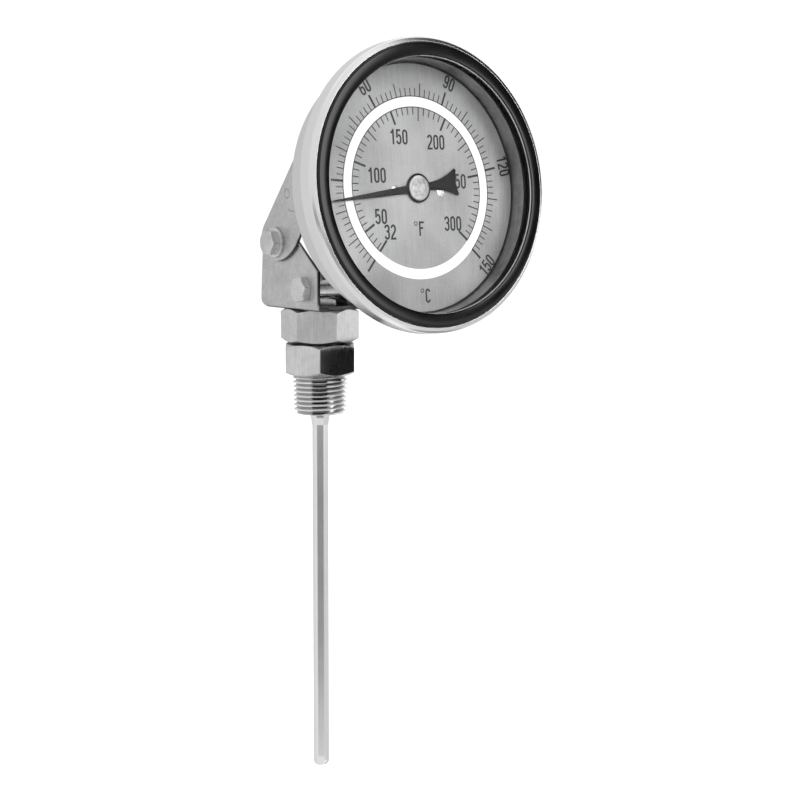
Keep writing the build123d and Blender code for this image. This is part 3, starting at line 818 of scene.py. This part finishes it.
def fillet_end():
    # concave end with rounded ears
    o = []
    lobe = [(-4.90, -17.50), (-4.84, -17.86), (-4.62, -18.10), (-4.28, -18.20), (-3.90, -18.14), (-3.5, -17.98)]
    o += lobe
    for k in range(1, 10):
        x = -3.5 + 7.0 * k / 10
        o.append((x, -17.45 - 0.53 * (abs(x) / 3.5) ** 2))
    o += [(-x, y) for x, y in lobe[::-1]]
    return o


def inset(poly, d):
    """moves a closed outline inwards by d (positive = smaller)"""
    n = len(poly)
    P = [np.array(p, float) for p in poly]
    area = sum(P[i][0] * P[(i + 1) % n][1] - P[(i + 1) % n][0] * P[i][1] for i in range(n))
    sg = 1 if area > 0 else -1
    out = []
    for i in range(n):
        a, b = P[i] - P[i - 1], P[(i + 1) % n] - P[i]
        a, b = a / np.linalg.norm(a), b / np.linalg.norm(b)
        na, nb = np.array((-a[1], a[0])) * sg, np.array((-b[1], b[0])) * sg
        m = na + nb
        m = m / max(1e-9, np.linalg.norm(m))
        out.append(tuple(P[i] + m * d / max(0.5, float(m @ na))))
    return out


def plate_data(outline, z0, z1, edge):
    """flat plate with softened upper edge"""
    from mathutils.geometry import tessellate_polygon
    n = len(outline)
    inner = inset(outline, edge)
    mid = inset(outline, edge * 0.3)
    V = [(x, y, z0) for x, y in outline] + [(x, y, z1 - edge) for x, y in outline] \
        + [(x, y, z1 - edge * 0.3) for x, y in mid] + [(x, y, z1) for x, y in inner]
    F = []
    for k in range(3):
        for i in range(n):
            j = (i + 1) % n
            F.append((k * n + i, k * n + j, (k + 1) * n + j, (k + 1) * n + i))
    t0 = tessellate_polygon([[Vector((p[0], p[1], 0)) for p in outline]])
    t1 = tessellate_polygon([[Vector((p[0], p[1], 0)) for p in inner]])
    F += [tuple(t) for t in t0] + [tuple(i + 3 * n for i in t) for t in t1]
    return V, F


v, f = plate_data(rot2(pointer_outline(), pa), PH0, PH1, 0.06)
make("pointer_needle", v, f, "pointer_black", "pointer_group", "pointer_black", dial_to_row, smooth=50, merge=1e-7,
     nodes=("pointer",))
lathe("pointer_cap", [(0.0, PH1 + 0.01), (4.5, PH1 + 0.01), (4.5, PH1 + 0.26, 0.10), (4.2, PH1 + 0.39, 0.10), (3.0, PH1 + 0.42, 0.8), (0.0, PH1 + 0.44)],
      "hub", "pointer_group", seg=128, to_row=dial_to_row, slot="hub", nodes=("pointer_hub",))

# ---- case, bezel, ring, window, spacer
case_r, cb = 46.8, -12.2
lathe("case_body", [
    (4.2, cb), (case_r, cb, 2.6), (case_r, 3.9, 1.1), (50.85, 4.25, 0.75), (50.85, 9.0), (50.0, 9.0, 0.15), (50.0, 6.0),
    (46.0, 6.0), (46.0, cb + 0.8, 1.9), (4.2, cb + 0.8)], "case_steel", "head", seg=256, to_row=dial_to_row,
    slot="case_steel", nodes=("case_cup",))
lathe("bezel_rim", [
    (48.9, 2.7, 0.25), (52.5, 2.7, 1.0), (52.5, 8.7, 1.3), (51.7, 9.75, 0.9), (50.5, 10.25, 0.18), (50.36, 10.02),
    (50.36, 9.06), (50.9, 9.06), (50.9, 4.3), (48.9, 4.05)], "bezel_steel", "head", seg=256, to_row=dial_to_row,
    slot="bezel_steel", nodes=("bezel",))
ring_prof = [(45.3, 9.12), (50.3, 9.12)]
for k in range(0, 41):
    t = k / 40
    x = 50.3 - 5.0 * (0.5 - 0.5 * cos(pi * t))
    t = (50.3 - x) / 5.0
    # low dome, rounded over at both edges
    s = abs(2 * t - 1)
    ring_prof.append((x, 10.95 - 0.16 * s ** 2 - 0.80 * s ** 12))
v, f = lathe_data(ring_prof, 256)
ring = make("trim_ring_gloss", v, f, "trim_black", "head", "trim_black", dial_to_row, smooth=50, nodes=("trim_ring",))
# painted highlight: the inner lip of the ring gets polished metal in place of the black finish, so that a thin bright
# line shows on the ring's inner edge
ring.data.materials.append(MAT["bezel_steel"])
for pf in ring.data.polygons:
    c = np.array(pf.center) * 1000.0 - ORG
    if hypot(c @ DX, c @ DU) < 45.50 and c @ DN > 10.15:
        pf.material_index = 1
lathe("window_pane", [(0.0, 6.92), (49.8, 6.92, 0.3), (49.8, 9.1, 0.3), (0.0, 9.1)], "window", "head", seg=192,
      to_row=dial_to_row, slot="window", nodes=("window_glass",))
lathe("window_seal", [(45.4, 6.03, 0.1), (49.8, 6.03, 0.1), (49.8, 6.88, 0.1), (45.4, 6.88, 0.1)], "gasket", "head",
      seg=192, to_row=dial_to_row, slot="gasket", nodes=("window_gasket",))
lathe("inner_spacer", [(45.0, 0.03), (45.95, 0.03), (45.95, 6.0), (45.3, 6.0, 0.12)], "spacer", "head", seg=256,
      to_row=dial_to_row, slot="spacer", nodes=("spacer_ring",))

# ================================================================ hexagons and thread
AF = 27.0


def hex_points(af, rot, corner=0.35, flat_n=14, corner_n=4):
    """rounded hexagon outline, counter-clockwise"""
    rc = af / sqrt(3)
    pts = []
    for k in range(6):
        a = radians(rot + 60 * k)
        pts.append((rc * cos(a), rc * sin(a), corner))
    f = fillet_poly(pts, corner_n)
    out = []
    n = len(f)
    for i in range(n):
        a, b = np.array(f[i]), np.array(f[(i + 1) % n])
        out.append(tuple(a))
        L = np.linalg.norm(b - a)
        if L > af * 0.2:
            for k in range(1, flat_n):
                out.append(tuple(a + (b - a) * k / flat_n))
    return out


def hex_rows(af, rot, z0, z1, c0=True, c1=True, edge=0.16):
    """rows of points of a hexagon with turned 30 degree chamfers, from bottom to top; every row has the same count"""
    pts = hex_points(af, rot)
    rf = af / 2 - 0.15
    rows = []
    k30 = tan(radians(30))
    P = np.array(pts)
    R = np.hypot(P[:, 0], P[:, 1])
    D = P / R[:, None]

    def row(rad, z):
        rad = np.broadcast_to(rad, R.shape)
        z = np.broadcast_to(z, R.shape)
        return [(D[i, 0] * rad[i], D[i, 1] * rad[i], z[i]) for i in range(len(R))]

    drop = np.maximum(0.0, (R - rf) * k30)
    e = np.minimum(edge, drop * 0.45)
    if c0:
        rows.append(row(rf - 0.12, z0))
        rows.append(row(rf, z0 + 0.02))
        rows.append(row(R - e, z0 + drop - e * k30))
        rows.append(row(R - e * 0.25, z0 + drop + e * 0.25))
        rows.append(row(R, z0 + drop + e))
    else:
        rows += [row(R - 0.1, z0), row(R, z0 + 0.1)]
    if c1:
        rows.append(row(R, z1 - drop - e))
        rows.append(row(R - e * 0.25, z1 - drop - e * 0.25))
        rows.append(row(R - e, z1 - drop + e * k30))
        rows.append(row(rf, z1 - 0.02))
        rows.append(row(rf - 0.12, z1))
    else:
        rows += [row(R, z1 - 0.1), row(R - 0.1, z1)]
    return rows, pts


def rows_mesh(rows, close=True):
    """skins rows of equal count; the last joins the first when close"""
    n = len(rows[0])
    V = [p for r in rows for p in r]
    F = []
    m = len(rows)
    for a in range(m if close else m - 1):
        b = (a + 1) % m
        for i in range(n):
            j = (i + 1) % n
            F.append((a * n + i, a * n + j, b * n + j, b * n + i))
    return V, F


def circle_row(pts, r, z):
    P = np.array(pts)
    R = np.hypot(P[:, 0], P[:, 1])
    return [(P[i, 0] / R[i] * r, P[i, 1] / R[i] * r, z) for i in range(len(R))]


# union nut
rows, hp = hex_rows(AF, 20.7, 28.8, 41.9)
rows += [circle_row(hp, 6.06, 41.9), circle_row(hp, 6.06, 37.8), circle_row(hp, 11.05, 37.8), circle_row(hp, 11.05, 28.8)]
v, f = rows_mesh(rows)
make("union_nut_hex", v, f, "machined_steel", "process_connection", "machined_steel", same,
     smooth=28, nodes=("union_nut",))

# fitting hexagon with its upper spigot
rows, hp = hex_rows(AF, -4.3, 16.1, 28.0)
rows += [circle_row(hp, 11.0, 28.0), circle_row(hp, 11.0, 33.9), circle_row(hp, 10.7, 34.2), circle_row(hp, 3.65, 34.2),
         circle_row(hp, 3.65, 15.6), circle_row(hp, 12.3, 15.6), circle_row(hp, 12.62, 15.85)]
v, f = rows_mesh(rows)
make("fitting_hex", v, f, "machined_steel", "process_connection", "machined_steel", same, smooth=28,
     nodes=("process_fitting",))

# hexagon screws: chamfered heads with a faint turned ring on top, plain shanks


def screw_data(face_x, y, z, side, rot, length):
    rows, pts = hex_rows(9.0, rot, 0.0, 3.3, False, True, edge=0.10)
    rows += [circle_row(pts, 3.7, 3.3), circle_row(pts, 3.55, 3.24), circle_row(pts, 3.4, 3.3), circle_row(pts, 0.05, 3.3)]
    V, F = rows_mesh(rows, close=False)
    n, m = len(pts), len(rows)
    F.append(tuple((m - 1) * n + i for i in range(n)))
    under = [circle_row(pts, 2.5, 0.0), circle_row(pts, 2.5, -length + 0.4), circle_row(pts, 2.1, -length)]
    k = len(V)
    V += [p for r in under for p in r]
    for i in range(n):
        j = (i + 1) % n
        F.append((i, k + i, k + j, j))
        for q in range(2):
            F.append((k + q * n + i, k + (q + 1) * n + i, k + (q + 1) * n + j, k + q * n + j))
    F.append(tuple(k + 2 * n + i for i in range(n)))
    # the axis along X, the local x axis towards -Z*side
    return [(face_x + side * c, y + b, z - side * a) for a, b, c in V], F


v, f = join_data(*[screw_data(17.8 * sd, 6.0, 67.8, sd, 26.0 if sd < 0 else 4.0, 9.3) for sd in (-1, 1)])
piv = make("pivot_screw_hexes", v, f, "fastener_steel", "stem_and_yoke", "fastener_steel", same, smooth=20, merge=0, nodes=("pivot_screws",))
v, f = screw_data(-15.0, -11.2, 50.3, -1, 39.5, 35.0)
tie = make("tie_bolt_hex", v, f, "fastener_steel", "stem_and_yoke", "fastener_steel", same, smooth=20, merge=0, nodes=("tie_bolt",))

# helical taper thread
PITCH, R0, DEPTH, TAPER, LEN = 25.4 / 14, 10.36, 1.35, 1 / 32, 15.6
NS = 160
ph_pts = [(0.0, 1.0), (0.04, 1.0), (0.075, 0.95), (0.405, 0.11), (0.43, 0.05), (0.465, 0.0), (0.535, 0.0), (0.57, 0.05),
          (0.595, 0.11), (0.925, 0.95), (0.96, 1.0)]
rows = []
nturn = int(LEN / PITCH) + 3


def thread_r(z, depth_frac):
    r = R0 + TAPER * z - DEPTH * depth_frac
    # run-out: the last turn fades into the collar
    if z > LEN - 2.2:
        k = min(1.0, (z - (LEN - 2.2)) / 2.2)
        r = max(r, R0 + TAPER * z - DEPTH * depth_frac * (1 - 0.45 * k) - 0.3 * k * depth_frac)
    # lead-in chamfer at the small end
    r = min(r, 9.15 + z * 1.15)
    return r


prof = []
for k in range(-2, nturn):
    for p, dfrac in ph_pts:
        prof.append((k * PITCH + p * PITCH, dfrac))
grid = []
for zz, dfrac in prof:
    row = []
    for i in range(NS):
        a = 2 * pi * i / NS
        z = zz + PITCH * i / NS
        row.append((a, z, dfrac))
    grid.append(row)
# skin: each row continues into the row one pitch higher after a full turn
npp = len(ph_pts)
V, F = [], []
idx = {}


def dfrac_at(z, a):
    """depth fraction of the profile at height z and angle a"""
    p = ((z - PITCH * a / (2 * pi)) / PITCH) % 1.0
    q = ph_pts + [(1.0, 1.0)]
    for (p0, d0), (p1, d1) in zip(q, q[1:]):
        if p <= p1:
            return d0 + (d1 - d0) * (p - p0) / (p1 - p0)
    return 1.0


Z0, Z1 = 0.0, LEN + 0.1
for k, row in enumerate(grid):
    for i, (a, z, dfrac) in enumerate(row):
        zc = min(Z1, max(Z0, z))
        d = dfrac if zc == z else dfrac_at(zc, a)
        r = thread_r(zc, d)
        idx[(k, i)] = len(V)
        V.append((r * cos(a), r * sin(a), zc))
m = len(grid)
for k in range(m - 1):
    for i in range(NS):
        if i < NS - 1:
            F.append((idx[(k, i)], idx[(k, i + 1)], idx[(k + 1, i + 1)], idx[(k + 1, i)]))
        else:
            k2, k3 = k + npp, k + 1 + npp
            if k3 < m:
                F.append((idx[(k, i)], idx[(k2, 0)], idx[(k3, 0)], idx[(k + 1, i)]))
# the first pitch at angle 0 starts inside the clamped zone, the last one ends in it, so both ends are flat rings
bot, top = [], []
for i in range(NS):
    a = 2 * pi * i / NS
    rb, rt = thread_r(Z0, dfrac_at(Z0, a)), thread_r(Z1, dfrac_at(Z1, a))
    bot.append((rb * cos(a), rb * sin(a), Z0))
    top.append((rt * cos(a), rt * sin(a), Z1))


def ring_pts(r, z):
    return [(r * cos(2 * pi * i / NS), r * sin(2 * pi * i / NS), z) for i in range(NS)]


caps = [bot, ring_pts(3.66, Z0), ring_pts(3.66, Z1 + 0.2), ring_pts(11.6, Z1 + 0.2), ring_pts(11.2, Z1), top]
cv, cf = rows_mesh(caps, close=False)
V2, F2 = join_data((V, F), (cv, cf))
thr = make("process_thread_helix", V2, F2, "thread_steel", "process_connection", "machined_steel", same, smooth=60,
           merge=2e-6, weighted=False)
bm = bmesh.new()
bm.from_mesh(thr.data)
bmesh.ops.dissolve_degenerate(bm, dist=2e-7, edges=bm.edges)
bmesh.ops.recalc_face_normals(bm, faces=bm.faces)
bm.to_mesh(thr.data)
bm.free()
thr.data.shade_smooth()
thr.data.set_sharp_from_angle(angle=radians(60))

# ================================================================ flexible coupling as a wound spring
start = np.array((0, 0, 48.9))
corner = np.array((0, 0, ORG[2] + ORG[1] * tan(e_)))
fh = -21.0
end = np.array((0, ORG[1] - fh * cos(e_), ORG[2] + fh * sin(e_)))
RB = 30.0
tl = RB * tan((pi / 2 - e_) / 2)
t1 = corner - np.array((0, 0, tl))
dirn = np.array((0, -cos(e_), sin(e_)))
t2 = corner + dirn * tl
ctr = t1 + np.array((0, -RB, 0))
path = []
L1 = np.linalg.norm(t1 - start)
for s in np.arange(0, L1, 0.2):
    path.append(start + (t1 - start) * s / L1)
sweep = pi / 2 - e_
for s in np.arange(0, RB * sweep, 0.2):
    a = s / RB
    path.append(ctr + RB * np.array((0, cos(a), sin(a))))
L3 = np.linalg.norm(end - t2)
for s in np.arange(0, L3 + 1e-9, 0.2):
    path.append(t2 + (end - t2) * s / L3)
path = np.array(path)
seglen = np.r_[0, np.cumsum(np.linalg.norm(np.diff(path, axis=0), axis=1))]
TOT = seglen[-1]
CR, WR, CP = 1.97, 0.40, 0.86
nt_ = int(TOT / CP)
NSEG, NW = 20, 7


def on_path(s):
    p = np.array([np.interp(s, seglen, path[:, i]) for i in range(3)])
    q = np.array([np.interp(min(TOT, s + 0.3), seglen, path[:, i]) for i in range(3)])
    o = np.array([np.interp(max(0, s - 0.3), seglen, path[:, i]) for i in range(3)])
    t = (q - o) / np.linalg.norm(q - o)
    nx = np.array((1.0, 0, 0))
    return p, t, nx, np.cross(t, nx)


cl = []
for k in range(nt_ * NSEG + 1):
    s = CP / 2 + (TOT - CP) * k / (nt_ * NSEG)
    a = 2 * pi * k / NSEG
    p, t, nx, ny = on_path(s)
    cl.append(p + CR * (cos(a) * nx + sin(a) * ny))
cl = np.array(cl)
V, F = [], []
for k in range(len(cl)):
    t = cl[min(k + 1, len(cl) - 1)] - cl[max(k - 1, 0)]
    t = t / np.linalg.norm(t)
    s = CP / 2 + (TOT - CP) * k / (nt_ * NSEG)
    p, tt, nx, ny = on_path(s)
    o = cl[k] - p
    o = o / np.linalg.norm(o)
    w = np.cross(t, o)
    w = w / np.linalg.norm(w)
    o = np.cross(w, t)
    for i in range(NW):
        a = 2 * pi * i / NW
        V.append(tuple(cl[k] + WR * (cos(a) * o + sin(a) * w)))
for k in range(len(cl) - 1):
    for i in range(NW):
        j = (i + 1) % NW
        F.append((k * NW + i, k * NW + j, (k + 1) * NW + j, (k + 1) * NW + i))
F.append(tuple(range(NW)))
F.append(tuple(reversed([(len(cl) - 1) * NW + i for i in range(NW)])))
coil = make("coupling_spring", V, F, "wire_steel", None, "shaft_steel", same, smooth=60, merge=0, weighted=False)
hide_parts("flex_coupling")
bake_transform(coil)

# ================================================================ CAD nodes that stay: materials and softened edges
FINISH = {
    "swivel_seal": "seal", "stem_tube": "stem_steel", "stem_tip_plug": "stem_steel", "stem_sleeve": "stem_steel",
    "swivel_neck": "turned_steel", "neck_lock_nut": "fastener_steel", "yoke_bracket": "sheet_steel",
    "pivot_screws": "fastener_steel", "pivot_washers": "fastener_steel", "pivot_nuts": "fastener_steel",
    "tie_bolt": "fastener_steel", "tie_nut": "fastener_steel", "tie_spacer": "fastener_steel",
    "stem_guide_bushes": "seal", "neck_bush": "bush_brass", "stem_shaft": "shaft_steel",
    "bimetal_helix": "bimetal", "case_bracket": "sheet_steel", "bracket_rivets": "fastener_steel",
    "movement_support": "support", "pointer_bush": "bush_brass", "case_bush": "bush_brass",
    "pointer_shaft": "shaft_steel",
}
BEVEL = {"yoke_bracket": 0.28, "case_bracket": 0.28, "pivot_screws": 0.16, "tie_bolt": 0.16, "tie_nut": 0.14,
         "pivot_nuts": 0.14, "neck_lock_nut": 0.2, "pivot_washers": 0.16, "tie_spacer": 0.12, "bracket_rivets": 0.0}
for n, o in NODES.items():
    if o.hide_render:
        continue
    mat = FINISH.get(n)
    if mat is None:
        print("no finish for", n)
        continue
    o.data.materials.clear()
    o.data.materials.append(MAT[mat])
    for p in o.data.polygons:
        p.material_index = 0
    if BEVEL.get(n):
        o.data.shade_smooth()
        o.data.set_sharp_from_angle(angle=radians(30))
    w = o.modifiers.new("weld", "WELD")
    w.merge_threshold = 2e-6
    if BEVEL.get(n):
        b = o.modifiers.new("bevel", "BEVEL")
        b.width = BEVEL[n] * 0.001
        b.segments = 3
        b.limit_method = "ANGLE"
        b.angle_limit = radians(32)
        b.use_clamp_overlap = True
        b.harden_normals = True

# ================================================================ stage: floor, world and lamps
FLOOR_Z = -0.1463
bm = bmesh.new()
bmesh.ops.create_circle(bm, cap_ends=True, segments=96, radius=2.4)
me = bpy.data.meshes.new("floor")
bm.to_mesh(me)
bm.free()
floor = bpy.data.objects.new("floor", me)
floor.location = (0, 0, FLOOR_Z)
bpy.context.scene.collection.objects.link(floor)
m, nt, b, out = new_material("floor")
g = G(nt)
b.inputs["Roughness"].default_value = 0.9
b.inputs["Specular IOR Level"].default_value = 0.0
n = g.noise(g.coord(), 30.0, 2.0)
g.put(b.inputs["Base Color"], g.grey(g.ramp(n, 0.3, 0.7, 0.84, 0.86)))
b.inputs["Emission Color"].default_value = (1, 1, 1, 1)
b.inputs["Emission Strength"].default_value = 0.30
tr = nt.nodes.new("ShaderNodeBsdfTransparent")
lp = nt.nodes.new("ShaderNodeLightPath")
mix = nt.nodes.new("ShaderNodeMixShader")
nt.links.new(lp.outputs["Is Glossy Ray"], mix.inputs[0])
nt.links.new(b.outputs[0], mix.inputs[1])
nt.links.new(tr.outputs[0], mix.inputs[2])
nt.links.new(mix.outputs[0], out.inputs[0])
floor.data.materials.append(m)

card_m, nt, b, out = new_material("black_card")
g = G(nt)
g.put(b.inputs["Base Color"], g.grey(g.ramp(g.noise(g.coord(), 40.0, 3.0), 0.3, 0.7, 0.008, 0.014)))
b.inputs["Roughness"].default_value = 1.0
b.inputs["Specular IOR Level"].default_value = 0.0


def card_at(name, rel_deg, dist, width, z0, z1):
    """upright black card beside the object at an angle from the camera's side, facing the object"""
    a = radians(rel_deg - 127.3)
    c = Vector((cos(a) * dist, sin(a) * dist, (z0 + z1) / 2))
    me = bpy.data.meshes.new(name)
    t = Vector((-sin(a), cos(a), 0)) * width / 2
    h = Vector((0, 0, (z1 - z0) / 2))
    me.from_pydata([tuple(c - t - h), tuple(c + t - h), tuple(c + t + h), tuple(c - t + h)], [], [(0, 1, 2, 3)])
    o = bpy.data.objects.new(name, me)
    bpy.context.scene.collection.objects.link(o)
    me.materials.append(card_m)
    o.visible_camera = o.visible_diffuse = o.visible_shadow = o.visible_transmission = False
    return o


card_at("card_low", 66.0, 0.022, 0.036, 0.0085, 0.0284)
card_at("card_front", 1.0, 0.021, 0.026, -0.003, 0.0132)

world = bpy.data.worlds.new("studio")
bpy.context.scene.world = world
world.use_nodes = True
nt = world.node_tree
for n in list(nt.nodes):
    nt.nodes.remove(n)
g = G(nt)
tc = nt.nodes.new("ShaderNodeTexCoord")
d = g.vm("NORMALIZE", tc.outputs["Generated"])
x, y, z = g.xyz(d)
fx, fy = -0.606, -0.795           # towards the photographer
a_ = g.m("ADD", g.m("MULTIPLY", x, fx), g.m("MULTIPLY", y, fy))
# positive side = towards +X seen from the object
b_ = g.m("ADD", g.m("MULTIPLY", x, -fy), g.m("MULTIPLY", y, fx))
rel = g.m("MULTIPLY", g.m("ARCTAN2", b_, a_), 180 / pi)
el = g.m("MULTIPLY", g.m("ARCSINE", z), 180 / pi)


def window(v, lo, hi, soft):
    return g.m("MULTIPLY", g.ramp(v, lo - soft, lo + soft), g.ramp(v, hi - soft, hi + soft, 1.0, 0.0))


def over(base, value, mask):
    """base replaced by value where mask is 1"""
    return g.m("ADD", g.m("MULTIPLY", base, g.m("SUBTRACT", 1.0, mask)), g.m("MULTIPLY", value, mask))


# left side of the studio is a little darker than the right
pat = g.ramp(rel, -150.0, 130.0, 0.80, 1.25)
# behind the object the backdrop is lit less
back_ = g.m("MULTIPLY", g.ramp(g.m("ABSOLUTE", rel), 140.0, 162.0), window(el, -26.0, 14.0, 7.0))
pat = over(pat, 0.50, back_)
right_ = window(rel, 50.0, 165.0, 8.0)
pat = over(pat, 1.45, g.m("MULTIPLY", right_, window(el, -6.0, 2.0, 2.0)))
pat = over(pat, 0.74, g.m("MULTIPLY", right_, window(el, -34.0, -7.5, 2.5)))
top = g.ramp(el, 45.0, 70.0)
pat = over(pat, 1.10, top)
# the photographer's side: bright wall, a dark band under it, dark floor and dark ceiling
front = window(rel, -46.0, 50.0, 8.0)
low = window(el, -19.5, -6.0, 3.0)
pat = over(pat, 0.92, front)
pat = over(pat, 0.28, g.m("MULTIPLY", front, low))

# black card beside the camera, seen by the flat front surfaces
card = g.m("MULTIPLY", window(rel, 73.0, 150.0, 1.5), window(el, 1.0, 38.0, 2.5))
pat = over(pat, 0.010, card)
box_ = g.m("MULTIPLY", window(rel, 55.0, 73.0, 1.5), window(el, 1.0, 30.0, 4.0))
pat = over(pat, 6.0, box_)
high = g.m("MULTIPLY", window(rel, 84.0, 150.0, 4.0), window(el, 34.0, 64.0, 3.0))
pat = over(pat, 0.03, high)
under = g.m("MULTIPLY", window(rel, 84.0, 150.0, 4.0), window(el, -68.0, -38.0, 3.0))
pat = over(pat, 0.34, under)
lp = nt.nodes.new("ShaderNodeLightPath")
val = over(1.10, pat, lp.outputs["Is Glossy Ray"])
val = over(val, 1.05, lp.outputs["Is Camera Ray"])
bg = nt.nodes.new("ShaderNodeBackground")
g.put(bg.inputs[0], g.grey(val))
bg.inputs[1].default_value = 1.0
wo = nt.nodes.new("ShaderNodeOutputWorld")
nt.links.new(bg.outputs[0], wo.inputs[0])


def area(name, loc, target, size, power, glossy=False):
    L = bpy.data.lights.new(name, "AREA")
    L.shape = "DISK"
    L.size = size
    L.energy = power
    o = bpy.data.objects.new(name, L)
    o.location = loc
    o.rotation_euler = (Vector(target) - Vector(loc)).to_track_quat("-Z", "Y").to_euler()
    o.visible_glossy = glossy
    o.visible_camera = False
    o.visible_transmission = False
    bpy.context.scene.collection.objects.link(o)
    return o


area("key", (0.5, -0.9, 0.9), (0, -0.03, 0.05), 0.8, 9.0)
area("fill", (-1.0, -0.5, 0.3), (0, -0.03, 0.05), 0.9, 6.5)
